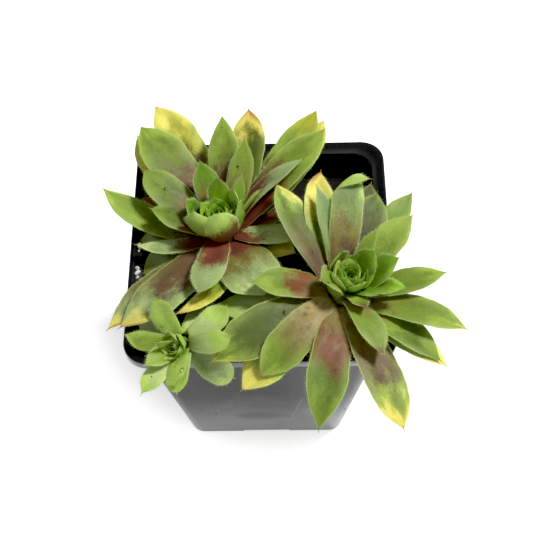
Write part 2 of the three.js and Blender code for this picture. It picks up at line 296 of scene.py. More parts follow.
# Painted shadow: the paper's glow fades to its lower value within a few centimetres of the pot.
beyond_painted_shadow = r.ease(r.measure("DISTANCE", r.object_place(), PAINTED_SHADOW_CENTRE), *PAINTED_SHADOW_EDGE)
r.put(shader.inputs["Emission Color"], r.colour(beyond_painted_shadow, *PAPER_GLOW_AND_PAINTED_SHADOW))
floor.data.materials.append(floor_paint)

# %% [markdown]
# ## The pot's shape
# A nursery pot is moulded from thin black plastic: a tapering square box with a stiff rolled rim,
# and inside it a ribbed collar and a step that lets pots nest. It could be made from a cube with
# bevels, but one outline swept round a rounded square gives every ring the same soft corner, and
# rings are easy to add where an edge needs to be round. The outline's measures come first, in
# millimetres. The height and the rim's half width are read off the measured pot.

# %% Set the pot's measures
pot_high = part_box("pot")[1]
POT_HEIGHT = pot_high.z / MM
RIM_HALF = pot_high.x / MM
BASE_HALF = 30.2
WAIST_HALF = 41.3
CORNER = 0.178
WALL = 1.2
LIP_HEIGHT = 4.4
LEDGE_HEIGHT = 80.0
LEDGE_HALF = 39.9
COLLAR_TOP = 88.4
COLLAR_HALF = 40.6
MOUTH_HALF = 43.4
RIBS = 3
RIB = 0.35
RIB_HEIGHT = 1.8
EDGE = 0.8
FOOT_EDGE = 0.25
FLOOR_THICK = 2.6
FILLET = 1.3
CORNER_STEPS = 14
PAD_HALF = 11.0
CHANNEL_HALF = 9.0
CHANNEL_DEPTH = 1.2
DRAIN_OFFSET = 17.0
DRAIN_RADIUS = 4.0
DRAIN_SIDES = 32
print("pot:", round(2 * RIM_HALF), "mm wide,", round(POT_HEIGHT), "mm tall")

# %% [markdown]
# The outline runs from the foot up the outside, over the rim and down the inside to the floor. Small
# arcs round its edges, because a moulded edge catches a line of light that a sharp one never does.

# %% Draw the pot's outline
def rounded_square(steps=CORNER_STEPS):
    """Points of a rounded square of half width 1, anticlockwise."""
    points = []
    for side in range(4):
        for step in range(steps + 1):
            angle = (side + step / steps) * math.pi / 2
            turn = side * math.pi / 2
            cx = (1 - CORNER) * (math.cos(turn) - math.sin(turn))
            cy = (1 - CORNER) * (math.sin(turn) + math.cos(turn))
            points.append((cx + CORNER * math.cos(angle), cy + CORNER * math.sin(angle)))
    return np.array(points)


def half_outside(height):
    return BASE_HALF + (WAIST_HALF - BASE_HALF) * height / (POT_HEIGHT - LIP_HEIGHT)


def half_inside(height):
    return half_outside(height) - WALL


def arc(half, height, radius, start, end, steps=4):
    """Profile points round an arc, its centre at (half, height), angles in degrees."""
    turns = np.radians(np.linspace(start, end, steps + 1))
    return [(half + radius * math.cos(t), height + radius * math.sin(t)) for t in turns]


def rib_profile():
    points = []
    for rib in range(RIBS, 0, -1):
        share = rib / (RIBS + 0.5)
        height = LEDGE_HEIGHT + (COLLAR_TOP - LEDGE_HEIGHT) * share
        half = LEDGE_HALF + (COLLAR_HALF - LEDGE_HALF) * share
        for step in np.linspace(1, -1, 7):
            points.append((half - RIB * math.cos(step * math.pi / 2) ** 0.6, height + step * RIB_HEIGHT / 2))
    return points


def pot_profile():
    """Half widths and heights along the outline of the pot's wall."""
    lip_foot = POT_HEIGHT - LIP_HEIGHT
    lip_inside = RIM_HALF - WALL
    outer = [(BASE_HALF - 4, 0.0), *arc(BASE_HALF - FOOT_EDGE, FOOT_EDGE, FOOT_EDGE, -90, 0)]
    outer += [(half_outside(h), h) for h in np.linspace(1.8, lip_foot, 12)]
    rim = [(WAIST_HALF, lip_foot + WALL), (lip_inside, lip_foot + WALL + 0.2), (lip_inside, lip_foot)]
    rim += arc(RIM_HALF - 0.3, lip_foot + 0.3, 0.3, -90, 0, 3)
    rim += arc(RIM_HALF - EDGE, POT_HEIGHT - EDGE, EDGE, 0, 90)
    rim += [(MOUTH_HALF + 0.2, POT_HEIGHT), (MOUTH_HALF - 0.3, POT_HEIGHT - 0.3)]
    inner = [(COLLAR_HALF, COLLAR_TOP), *rib_profile()]
    inner += arc(LEDGE_HALF - 0.5, LEDGE_HEIGHT + 0.5, 0.5, 0, -90, 3)
    inner += [(half_inside(h), h) for h in (LEDGE_HEIGHT - WALL / 2, FLOOR_THICK + FILLET)]
    return outer + rim + inner + [(half_inside(FLOOR_THICK) - FILLET, FLOOR_THICK)]


profile = pot_profile()
print("outline:", len(profile), "points")

# %% [markdown]
# The outline is swept round the rounded square. Then four drain holes and the shallow channels that
# lead away from them are cut out of the base, with prisms and a Boolean modifier.

# %% Sweep the pot and cut its base
def at_height(outline, height):
    """The points of a flat outline, all at one height."""
    return np.column_stack([outline, np.full(len(outline), height)])


def cut_out(target, outlines, low, high):
    """Cut upright prisms on these outlines out of a piece."""
    outlines = np.asarray(outlines, float)
    sides = outlines.shape[1]
    points, faces = [], []
    for i, outline in enumerate(outlines):
        points += [at_height(outline, low), at_height(outline, high)]
        points.append([(*outline.mean(0), low), (*outline.mean(0), high)])
        faces += tube_faces(2, sides, i * (2 * sides + 2))
    cutter = piece("cutter", np.concatenate(points), faces)
    change = target.modifiers.new("cut", "BOOLEAN")
    change.solver = "EXACT"
    change.object = cutter
    shaped = target.evaluated_get(bpy.context.evaluated_depsgraph_get())
    target.data = bpy.data.meshes.new_from_object(shaped)
    target.modifiers.clear()
    bpy.data.objects.remove(cutter, do_unlink=True)


def turned_outlines(outline):
    """An outline on the +X side of the base, repeated on all four sides."""
    x, y = np.asarray(outline, float).T
    return [np.column_stack(side) for side in ((x, y), (-y, x), (-x, -y), (y, -x))]


square = rounded_square()
rings = [at_height(square * half, height) for half, height in profile]
pot_points = np.concatenate([*rings, [(0, 0, 0), (0, 0, FLOOR_THICK)]])
pot = piece("pot_shell", pot_points, tube_faces(len(profile), len(square)))
channel = [(x, y * CHANNEL_HALF) for x, y in ((PAD_HALF, -1), (RIM_HALF, -1), (RIM_HALF, 1), (PAD_HALF, 1))]
cut_out(pot, turned_outlines(channel), -1.0, CHANNEL_DEPTH)
drain = [(DRAIN_OFFSET + DRAIN_RADIUS * math.cos(t), DRAIN_RADIUS * math.sin(t))
         for t in np.linspace(0, 2 * math.pi, DRAIN_SIDES, endpoint=False)]
cut_out(pot, turned_outlines(drain), -1.0, 2 * FLOOR_THICK)
pot.data.set_sharp_from_angle(angle=math.radians(30))
print("pot:", len(pot.data.polygons), "faces")

# %% [markdown]
# ## The pot's plastic
# Recycled black polypropylene is nearly black. The walls are matt, as they come from a sand-blasted
# mould with faint upright streaks, and the lip of the rim and the foot are smoother. A thin grey film
# thickens towards the foot of the walls. Part of it is soil that watering splashes up, and part of it
# is a painted reflection of the white floor, which makes the wall lighter towards the bottom. A finger
# has dulled a patch of it, and a scratch runs down the front. All of this is made once as a group of
# nodes, because the wear and the painted reflection follow the same rules all over. The gloss is a
# clear coat whose weight changes with the height.

# %% Mix the pot's plastic
SMUDGE_PLACE = (-0.001, 0.0, 0.0215)
SCRATCH_OFFSET = 0.0066
SCRATCH_HEIGHT = 0.0294
SCRATCH_TILT = (0.984, 0.179)
# How high the grey film reaches up the wall: partly splashed soil, partly a painted reflection of the floor.
SPLASH_AND_REFLECTION_REACH = (0.047, 0.002)
FOOT_GLOSS = (0.050, 0.006)
LIP_GLOSS = ((0.0845, 0.0865), (0.0894, 0.0886))


def plastic_wear_and_reflection_group():
    tree, r, given, owed = shader_group(
        "plastic_wear_and_reflection",
        {"Plastic": "Color", "Dust": "Color", "Film": "Float"},
        {"Colour": "Color", "Roughness": "Float", "Polish": "Float", "Normal": "Vector"})
    place = r.object_place()
    x, y, height = r.parts(place)
    front = r.math("LESS_THAN", y, -0.02)
    streaks = r.noise(r.stretch(place, 900, 900, 25), 1.0, 4.0)
    patches = r.noise(place, 55.0, 5.0, 0.6)
    fine = r.noise(place, 900.0, 2.0)

    film = r.times(r.ease(patches, 0.45, 0.75), given["Film"])
    specks = r.ease(r.noise(place, 420.0, 2.0, 0.7), 0.72, 0.78)
    film = r.larger(film, r.times(specks, given["Film"]))
    # Towards the foot the film grows: partly splashed soil, partly a painted reflection of the white floor.
    reached = r.plus(height, r.between(patches, -0.012, 0.012))
    splash_and_painted_reflection = r.ease(reached, *SPLASH_AND_REFLECTION_REACH, 0.0, 0.25)
    splash_and_painted_reflection = r.times(splash_and_painted_reflection, r.between(streaks, 0.92, 1.0))
    film = r.larger(r.times(film, r.ease(height, 0.080, 0.084, 1.0, 0.2)), splash_and_painted_reflection)

    off_centre = r.add("VectorMath", {0: place, 1: SMUDGE_PLACE}, operation="SUBTRACT").outputs[0]
    wiped = r.measure("LENGTH", r.stretch(off_centre, 110, 0, 220))
    wiped = r.plus(wiped, r.between(patches, -0.5, 0.5))
    wiped = r.times(r.ease(wiped, 1.4, 0.4, 0.0, 0.50), front)
    film = r.times(film, r.minus(1.0, wiped))

    beside = r.minus(r.times(x, SCRATCH_TILT[0]), r.times(height, SCRATCH_TILT[1]))
    beside = r.math("ABSOLUTE", r.minus(beside, SCRATCH_OFFSET))
    span = r.math("ABSOLUTE", r.minus(height, SCRATCH_HEIGHT))
    scratch = r.times(r.ease(beside, 0.00025, 0.00005, 0.0, 0.5), r.ease(span, 0.0128, 0.0115))
    film = r.larger(film, r.times(scratch, front))

    streaked = r.colour(r.ease(streaks, 0.35, 0.7, 0.0, 0.012), given["Plastic"], given["Dust"])
    r.put(owed["Colour"], r.colour(film, streaked, given["Dust"]))
    lip = r.times(*[r.ease(height, *edge) for edge in LIP_GLOSS])
    foot = r.times(r.ease(height, *FOOT_GLOSS, 0.0, 0.62), r.minus(1.0, wiped))
    r.put(owed["Polish"], r.larger(lip, foot))
    r.put(owed["Roughness"], r.plus(r.between(streaks, 0.28, 0.33), r.times(film, 0.5)))
    grain = r.plus(r.times(streaks, 0.6), r.times(fine, 0.4))
    r.put(owed["Normal"], r.bump(grain, 0.10, 0.00015))
    return tree


plastic_wear_and_reflection = plastic_wear_and_reflection_group()
pot_plastic, r, shader = surface("pot_plastic", IOR=1.5, Specular_IOR_Level=0.10, Coat_Roughness=0.28)
# The dust colour also paints the floor's reflection on the lower wall.
skin = use_group(r, plastic_wear_and_reflection, Plastic=(0.010, 0.0102, 0.0105), Dust=(0.340, 0.340, 0.330), Film=0.045)
wear(r, shader, skin, Base_Color="Colour", Roughness="Roughness", Coat_Weight="Polish", Normal="Normal")
pot.data.materials.append(pot_plastic)
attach(pot, "root")
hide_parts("pot")
print("pot finish:", len(plastic_wear_and_reflection.nodes), "nodes in the group")

# %% [markdown]
# ## Potting soil
# The pot is filled nearly to the ledge with a mix of peat and fine bark. From above it is a dark,
# crumbly bed, so one closed body carries the bed's waves and its fine grain. Loose crumbs of bark
# and a few white grains of perlite lie on it, and six of these grains have landed on the collar
# inside the rim.

# %% Make the bed of soil
soil_low, soil_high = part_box("potting_soil")
SOIL_BOTTOM = soil_low.z / MM
SOIL_HEIGHT = 77.0
SOIL_HALF = soil_high.x / MM
SOIL_FOOT = half_inside(FLOOR_THICK) - FILLET - 0.6
SOIL_BUMP = 1.1
SOIL_WAVES = (0.11, 0.17, 0.26, 0.37)


def repeatable_draws(seed):
    """A function that gives the next of a fixed row of numbers between 0 and 1."""
    state = seed

    def draw():
        nonlocal state
        state = (state * 1664525 + 1013904223) % 4294967296
        return state / 4294967296
    return draw


def soil_rise(x, y):
    phase = repeatable_draws(11)
    rise = sum(np.sin(pitch * x + 9 * phase()) * np.cos(pitch * y + 9 * phase()) for pitch in SOIL_WAVES)
    return SOIL_BUMP * rise / 2


def crumbly(x, y):
    """Small lumps of soil, in millimetres."""
    lumps = 0.32 * np.sin(1.9 * x + 2.3 * np.sin(0.8 * y)) * np.cos(2.2 * y + 1.7 * np.sin(1.1 * x))
    return lumps + 0.18 * np.sin(4.7 * x + 3.1 * y) * np.cos(5.3 * y - 2.9 * x)


def soil_body():
    shares = np.linspace(0, 1, 70)[1:]
    square = rounded_square(24)
    ring_points = [at_height(square * SOIL_FOOT, SOIL_BOTTOM)]
    for share in shares[::-1]:
        flat = square * SOIL_HALF * share
        rise = soil_rise(flat[:, 0], flat[:, 1]) + crumbly(flat[:, 0], flat[:, 1])
        ring_points.append(np.column_stack([flat, SOIL_HEIGHT + rise]))
    ends = [(0, 0, SOIL_BOTTOM), (0, 0, SOIL_HEIGHT + float(soil_rise(0, 0)))]
    points = np.concatenate([*ring_points, ends])
    return piece("soil_bed", points, tube_faces(len(ring_points), len(square)))


soil = soil_body()
print("soil bed:", len(soil.data.polygons), "faces")

# %% [markdown]
# Crumbs are small lumps with random broken sides. A ball of triangles is squashed and dented by a
# different draw for each crumb, and is half sunk into the bed, so that none of them floats.

# %% Scatter the crumbs
CRUMBS = 420
PERLITE_GRAINS = 16
COLLAR_X = -42.0
COLLAR_GRAINS = ((1.3, 0.9), (0.2, 0.8), (-1.2, 0.5), (-8.6, 0.9), (-10.2, 1.2), (-12.0, 0.9))


def lump_shape():
    """Points and faces of a ball of 80 triangles."""
    ball = bmesh.new()
    bmesh.ops.create_icosphere(ball, subdivisions=2, radius=1.0)
    points = np.array([v.co for v in ball.verts])
    faces = [[v.index for v in f.verts] for f in ball.faces]
    ball.free()
    return points, np.array(faces)


ball_points, ball_faces = lump_shape()


def lumps(name, spots, sizes, seed, flatness=0.6):
    """One mesh of dented lumps at these places, each lump of its own size and shape."""
    rng = np.random.default_rng(seed)
    points, faces = [], []
    for i, (spot, size) in enumerate(zip(spots, sizes)):
        dents = np.sin(ball_points @ rng.normal(size=(3, 3)).T * 2.2).sum(1, keepdims=True)
        shape = ball_points * (1 + 0.22 * dents / 1.7)
        axes, _ = np.linalg.qr(rng.normal(size=(3, 3)))
        stretch = np.array([1.0, rng.uniform(0.5, 0.9), rng.uniform(0.35, flatness)])
        points.append((shape * stretch) @ axes.T * size + spot)
        faces.append(ball_faces + i * len(ball_points))
    return piece(name, np.concatenate(points), np.concatenate(faces).tolist(), smooth=False)


def spots_on_soil(x, y, sink):
    return np.column_stack([x, y, SOIL_HEIGHT + soil_rise(x, y) - sink])


rng = np.random.default_rng(5)
x, y = rng.uniform(-0.93, 0.93, (2, CRUMBS)) * SOIL_HALF
sizes = rng.gamma(3.0, 0.28, CRUMBS) + 0.35
crumbs = lumps("bark_crumbs", spots_on_soil(x, y, 0.15 * sizes), sizes, 6)
x, y = rng.uniform(-0.9, 0.9, (2, PERLITE_GRAINS)) * SOIL_HALF
sizes = rng.uniform(0.5, 1.0, PERLITE_GRAINS)
spots = spots_on_soil(x, y, 0.0)
for i, (y, size) in enumerate(COLLAR_GRAINS):
    spots[i] = (COLLAR_X, y, POT_HEIGHT - 0.7)
    sizes[i] = size
perlite = lumps("perlite_grains", spots, sizes, 8, 0.9)
print("crumbs:", CRUMBS, "perlite grains:", PERLITE_GRAINS)

# %% [markdown]
# ## The finish of soil, bark and perlite
# Peat is nearly black, bark is brown and perlite is chalky white, but all three are grainy. The colour
# follows the grain that the bump raises, so the hollows are painted darker, as painted shade. One group
# of nodes gives the grain, and each of the three gets its own two colours, scale and roughness. The
# stems and the dead leaves wear it too, further down.

# %% Mix the soil's finishes
def crumbly_group():
    tree, r, given, owed = shader_group(
        "crumbly_earth",
        {"Dark": "Color", "Light": "Color", "Scale": "Float"},
        {"Colour": "Color", "Normal": "Vector"})
    place = r.object_place()
    grain = r.noise(place, given["Scale"], 6.0, 0.65)
    tint = r.noise(place, 160.0, 3.0)
    # Painted shade: where the grain is low, and the bump makes a hollow, the colour is darker.
    colour = r.colour(r.ease(grain, 0.4, 0.75), given["Dark"], given["Light"])
    r.put(owed["Colour"], r.colour(r.ease(tint, 0.4, 0.7, 0.0, 0.5), colour, given["Dark"]))
    r.put(owed["Normal"], r.bump(grain, 0.8, 0.0006))
    return tree


crumbly_earth = crumbly_group()
EARTHS = {
    # The soil's two colours are darker than peat: partly the peat's colour, partly painted shade for the
    # inside of the pot.
    "soil": (soil, (0.004, 0.003, 0.002), (0.018, 0.012, 0.008), 1400.0, 0.9),
    "bark": (crumbs, (0.008, 0.005, 0.003), (0.048, 0.030, 0.018), 900.0, 0.8),
    "perlite": (perlite, (0.55, 0.53, 0.50), (0.90, 0.90, 0.88), 700.0, 0.7),
}
for name, (target, dark, light, scale, roughness) in EARTHS.items():
    earth, r, shader = surface(name, Roughness=roughness)
    grains = use_group(r, crumbly_earth, Dark=dark, Light=light, Scale=scale)
    wear(r, shader, grains, Base_Color="Colour", Normal="Normal")
    target.data.materials.append(earth)
    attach(target, "root")
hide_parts("potting_soil")
print("earth finishes:", sorted(EARTHS))

# %% [markdown]
# ## How a leaf is shaped
# A houseleek's leaf is a thick tongue: widest past its middle, a little dished on top, well rounded
# below, and drawn out to a short stiff point. Sculpting each leaf by hand would take days, and a flat
# card with a picture of a leaf on it would look thin from the side. So each leaf is worked out from
# eight numbers: its direction round the rosette, how far it spreads from the axis, its length and
# width, where it grows on the crown, and how it bows, sways and rolls. A word can make its end blunt
# or round, or fold it over.

# %% Lay a leaf's middle line
LEAF_PEAK = 0.60
ROOT_SHARE = 0.56
CUP = 0.12
TOP_SHARE = 0.28
FULLNESS = 1.12
TIP_RADIUS = 0.16
ENDS = {"pointed": (2.3, 1.25), "blunt": (3.2, 1.25), "round": (2.8, 0.55)}


def unit(vectors):
    """The same directions, each of length 1."""
    return vectors / np.linalg.norm(vectors, axis=1, keepdims=True)


def half_width(row, u):
    """Half the width at each place along a leaf. Young leaves have a broader root."""
    root = ROOT_SHARE + 0.30 * row[4]
    rising = root + (1 - root) * np.sin(math.pi / 2 * np.minimum(u / LEAF_PEAK, 1)) ** 1.2
    beyond = np.clip((u - LEAF_PEAK) / (1 - LEAF_PEAK), 0, 1)
    shoulder, point = next((ENDS[word] for word in row[8].split() if word in ENDS), ENDS["pointed"])
    return row[3] / 2 * np.where(u < LEAF_PEAK, rising, (1 - beyond ** shoulder) ** point)


def flesh(rosette, row, u):
    """Thickness at each place along a leaf."""
    return rosette["thickness"] * row[3] * FULLNESS * (1 - u ** 3) ** 0.8


def midline(rosette, row, u):
    """Points along the middle of a leaf, and the directions along, across and out of it at each."""
    turn, spread, length, _, level, bow, sway, roll = row[:8]
    t, s = math.radians(turn), math.radians(spread)
    reach = rosette["crown"] * math.sqrt(1 - level ** 2)
    root = np.array([reach * math.cos(t), reach * math.sin(t), level * rosette["dome"]])
    along = np.array([math.cos(t) * math.sin(s), math.sin(t) * math.sin(s), math.cos(s)])
    up = np.array([-math.cos(t) * math.cos(s), -math.sin(t) * math.cos(s), math.sin(s)])
    aside = np.array([-math.sin(t), math.cos(t), 0.0])
    arch = up * bow + aside * sway
    rolled = -math.radians(roll)
    facing = up * math.cos(rolled) + np.cross(along, up) * math.sin(rolled)
    middle = root + np.outer(u * length, along) + np.outer(4 * u * (1 - u), arch)
    tangent = unit(along * length + np.outer(4 * (1 - 2 * u), arch))
    side = unit(np.cross(facing, tangent))
    return middle, tangent, side, np.cross(tangent, side)


print("leaf ends:", ", ".join(ENDS))

# %% [markdown]
# Round the middle line goes a ring of points at each of many places, dished on top and rounded
# below, and a short stiff spine closes its end. A folded leaf is bent afterwards, so that its skin
# stays as thick over the crease as before it.

# %% Build a leaf round its middle line
RINGS = 44
AROUND = 28
SPINE = 1.3
WAVE = 0.16
FOLD_AT = 0.79
FOLD_TILT = 40
FOLD_ANGLE = 155
FOLD_RADIUS = 0.9


def fold_over(points, rosette, row):
    """Bend the end of a leaf over its top along a slanting crease, if its words say so."""
    if "folded" not in row[8]:
        return points
    middle, tangent, side, out = midline(rosette, row, np.array([FOLD_AT]))
    tilt = math.radians(FOLD_TILT)
    beyond = tangent[0] * math.cos(tilt) + side[0] * math.sin(tilt)
    offset = points - middle[0]
    far, high = offset @ beyond, offset @ out[0]
    bend = np.clip(far / FOLD_RADIUS, 0, math.radians(FOLD_ANGLE))
    rest = far - bend * FOLD_RADIUS
    arm = FOLD_RADIUS - high
    new_far = np.where(far > 0, arm * np.sin(bend) + rest * np.cos(bend), far)
    new_high = np.where(far > 0, FOLD_RADIUS - arm * np.cos(bend) + rest * np.sin(bend), high)
    return points + np.outer(new_far - far, beyond) + np.outer(new_high - high, out[0])


def leaf_section(across, above, half, thick, u):
    """Height of the skin over the midline: a shallow dish with a faint groove, and a rounded belly."""
    dish = CUP * half * across ** 2
    groove = 0.05 * thick * np.exp(-(across / 0.22) ** 2) * (u < 0.85)
    top = TOP_SHARE * thick * (1 - across ** 4) - groove
    belly = (TOP_SHARE - 1) * thick * np.clip(1 - across ** 2, 0, 1) ** 0.8
    return dish + np.where(above, top, belly)


def leaf_points(rosette, row, number):
    """Points of one closed leaf with its spine, in the rosette's frame, and the values stored on them."""
    length, width = row[2], row[3]
    u = np.sin(math.pi / 2 * np.linspace(0, 1, RINGS))
    middle, tangent, side, out = midline(rosette, row, u)
    wobble = 1 + 0.018 * np.sin(u * length * 0.55 + number)
    wobble += 0.012 * np.sin(u * length * 1.3 + 2 * number)
    half = np.maximum(half_width(row, u) * wobble, TIP_RADIUS)
    thick = np.maximum(flesh(rosette, row, u), 1.6 * TIP_RADIUS)
    angle = 2 * math.pi * np.arange(AROUND) / AROUND
    across, above = np.cos(angle), np.sin(angle) > 1e-9
    rise = leaf_section(across[None], above[None], half[:, None], thick[:, None], u[:, None])
    waves = np.sin(u * length * 0.30 + number)[:, None] * np.cos(2.4 * across + 1.7 * number)[None]
    rise += WAVE * waves * np.minimum(1, thick / 1.5)[:, None]
    points = middle[:, None] + side[:, None] * (half[:, None] * across)[..., None]
    points += out[:, None] * rise[..., None]
    neck = points[-1].mean(0) + (points[-1] - points[-1].mean(0)) * 0.6 + tangent[-1] * SPINE * 0.5
    points = np.concatenate([points, neck[None]]).reshape(-1, 3)
    ends = np.array([middle[0], middle[-1] + tangent[-1] * SPINE + out[-1] * 0.25])
    u_all = np.append(np.repeat(np.append(u, 1.0), AROUND), [0.0, 1.0])
    x_all = np.append(np.tile(across, RINGS + 1), [0.0, 0.0])
    top_all = np.append(np.tile(above.astype(float), RINGS + 1), [0.5, 0.5])
    place = np.column_stack([u_all, x_all, top_all])
    grain = np.column_stack([u_all * length, x_all * width / 2, np.full(len(u_all), 37.0 * number)])
    return fold_over(np.concatenate([points, ends]), rosette, row), place, grain


print("one leaf:", (RINGS + 1) * AROUND + 2, "points")

# %% [markdown]
# ## How leaves are coloured
# The leaves of one plant differ: young ones are fresh green, old ones turn wine red or brown from
# the root up, and the oldest go yellow from the tip down. Painting each leaf would be slow, so each
# gets a few plain words: its paints from the root to the tip, and where it is blotched or lopsided.
# The words become values stored on the leaf's points, and one shared skin reads them. Two of the
# paints are not leaf colours but painted shade, for leaves that lie in the shadow of others.

# %% Paints and words
PAINTS = {
    "wine": (0.146, 0.046, 0.030), "plum": (0.112, 0.070, 0.034), "dusk": (0.103, 0.100, 0.019),
    "umber": (0.165, 0.141, 0.038), "beige": (0.279, 0.217, 0.083), "rust": (0.393, 0.184, 0.060),
    # The two darkest paints here are painted shade, not leaf colours.
    "brick": (0.150, 0.048, 0.016), "shade": (0.034, 0.040, 0.006), "dim": (0.061, 0.070, 0.011),
    "pine": (0.070, 0.100, 0.013), "deep": (0.089, 0.141, 0.017),
    "olive": (0.141, 0.174, 0.035), "leaf": (0.146, 0.214, 0.029), "fresh": (0.217, 0.303, 0.046),
    "lime": (0.342, 0.480, 0.094), "vivid": (0.203, 0.364, 0.030), "moss": (0.122, 0.222, 0.020),
    "dark": (0.070, 0.141, 0.018), "blue": (0.170, 0.243, 0.078), "grey": (0.236, 0.303, 0.123),
    "pale": (0.402, 0.497, 0.186), "lemon": (0.322, 0.336, 0.038), "gold": (0.611, 0.545, 0.114),
}
STOPS = ("leaf_root", "leaf_low", "leaf_high", "leaf_tip", "leaf_end")
TURNS = {"blots": (1.0, 0.0, 0.0), "late": (0.0, 0.10, 0.0), "early": (0.0, -0.10, 0.0),
         "left": (0.0, 0.0, -1.0), "right": (0.0, 0.0, 1.0)}


def colouring(words):
    """The five paints of a leaf from root to end, and its blots, shift and lean to one side."""
    paints = [PAINTS[word] for word in words.split() if word in PAINTS]
    paints += [paints[-1]] * (len(STOPS) - len(paints))
    turns = np.sum([TURNS[word] for word in words.split() if word in TURNS] + [(0, 0, 0)], axis=0)
    return {**dict(zip(STOPS, paints)), "leaf_turns": turns}


print(len(PAINTS), "paints:", ", ".join(PAINTS))

# %% [markdown]
# ## The skin of a leaf
# The skin is waxy and finely grained. One paint gives way to the next along the leaf, and the front
# between them is ragged and mottled, because colour spreads cell by cell. Layers of noise do this,
# from clouds to fine pores. Over it lie wine-red blots, a rusty point and a thin pale edge line.

# %% Mix the leaf skin
def leaf_skin_group():
    tree, r, given, owed = shader_group(
        "leaf_skin",
        {"Blot": "Color", "Point": "Color", "Edge": "Color", "Bloom": "Color"},
        {"Colour": "Color", "Roughness": "Float", "Normal": "Vector"})
    u, across, top = r.parts(r.stored("leaf_place"))
    blots, shift, side = r.parts(r.stored("leaf_turns"))
    grain = r.stored("leaf_grain")

    def layer(along, aside, detail, roughness=0.5):
        return r.noise(r.stretch(grain, along, aside, 1.0), 1.0, detail, roughness)

    cloud = layer(0.12, 0.17, 3.0)
    patch = layer(0.30, 0.38, 5.0, 0.65)
    mottle = layer(1.1, 1.3, 4.0, 0.6)
    veins = layer(0.16, 1.7, 3.0, 0.6)
    speckle = layer(3.4, 3.8, 2.0)
    pores = layer(3.2, 4.4, 2.0)

    from_middle = r.math("ABSOLUTE", across)
    ragged = r.ease(patch, 0.25, 0.75, -0.10, 0.10)
    for noise, reach in ((mottle, 0.06), (speckle, 0.04)):
        ragged = r.plus(ragged, r.between(noise, -reach, reach))
    along = r.minus(r.plus(u, r.between(cloud, -0.08, 0.08)), shift)
    along = r.plus(along, r.times(ragged, r.ease(u, 0.75, 0.40, 0.25, 1.0)))
    along = r.plus(along, r.times(r.math("POWER", from_middle, 2.0), 0.07))
    along = r.minus(along, r.times(r.times(side, across), 0.17))
    colour = r.stored("leaf_root")
    for paint, low, high in (("leaf_low", 0.14, 0.42), ("leaf_high", 0.42, 0.68),
                             ("leaf_tip", 0.66, 0.92), ("leaf_end", 0.88, 1.04)):
        colour = r.colour(r.ease(along, low, high), colour, r.stored(paint))

    blotted = r.times(r.ease(patch, 0.53, 0.66), r.ease(u, 0.72, 0.35))
    blotted = r.times(blotted, r.ease(mottle, 0.35, 0.6, 0.4, 1.0))
    colour = r.colour(r.times(r.times(blotted, blots), 0.85), colour, given["Blot"])
    shades = r.times(r.between(cloud, 0.84, 1.10), r.between(speckle, 0.93, 1.07))
    shades = r.times(shades, r.between(mottle, 0.92, 1.08))
    shades = r.times(shades, r.ease(veins, 0.3, 0.75, 0.98, 1.03))
    shades = r.add("CombineColor", {0: shades, 1: shades, 2: shades}).outputs[0]
    colour = r.colour(1.0, colour, shades, "MULTIPLY")

    point = r.times(r.ease(u, 0.965, 0.998, 0.0, 0.8), r.ease(r.parts(grain)[0], 12.0, 24.0))
    colour = r.colour(point, colour, given["Point"])
    margin = r.times(r.ease(from_middle, 0.35, 0.95), r.ease(u, 0.1, 0.7, 0.0, 0.18))
    colour = r.colour(r.times(margin, top), colour, given["Edge"])
    rim = r.times(r.ease(from_middle, 0.925, 0.98), r.ease(u, 0.05, 0.4, 0.15, 0.62))
    colour = r.colour(rim, colour, given["Edge"])
    colour = r.colour(r.times(r.minus(1.0, top), 0.12), colour, given["Bloom"])
    r.put(owed["Colour"], colour)

    r.put(owed["Roughness"], r.between(patch, 0.42, 0.55))
    height = r.plus(r.times(mottle, 0.35), r.times(pores, 0.16))
    height = r.plus(r.plus(height, r.times(patch, 0.7)), r.times(veins, 0.15))
    r.put(owed["Normal"], r.bump(height, 0.5, 0.0004))
    return tree


leaf_skin = leaf_skin_group()
leaf_green, r, shader = surface("leaf_green", Specular_IOR_Level=0.22, Subsurface_Weight=0.10,
                                Subsurface_Scale=0.0025, Subsurface_Radius=(0.7, 1.0, 0.25))
skin = use_group(r, leaf_skin, Blot=(0.140, 0.050, 0.028), Point=(0.230, 0.100, 0.045),
                 Edge=(0.430, 0.530, 0.150), Bloom=(0.300, 0.370, 0.170))
wear(r, shader, skin, Base_Color="Colour", Roughness="Roughness", Normal="Normal")
print("leaf skin:", len(leaf_skin.nodes), "nodes")

# %% [markdown]
# ## The leaves of each rosette
# Sempervivum leaves grow in a spiral, but crowding, light and age push each one its own way, so the
# leaves you see are listed one by one, from the lowest and oldest to the cup round the bud. The
# numbers are the turn round the axis, the spread from it, the length, the width, the height on the
# crown, the bow, the sway and the roll, in degrees and millimetres. The words give its paints.

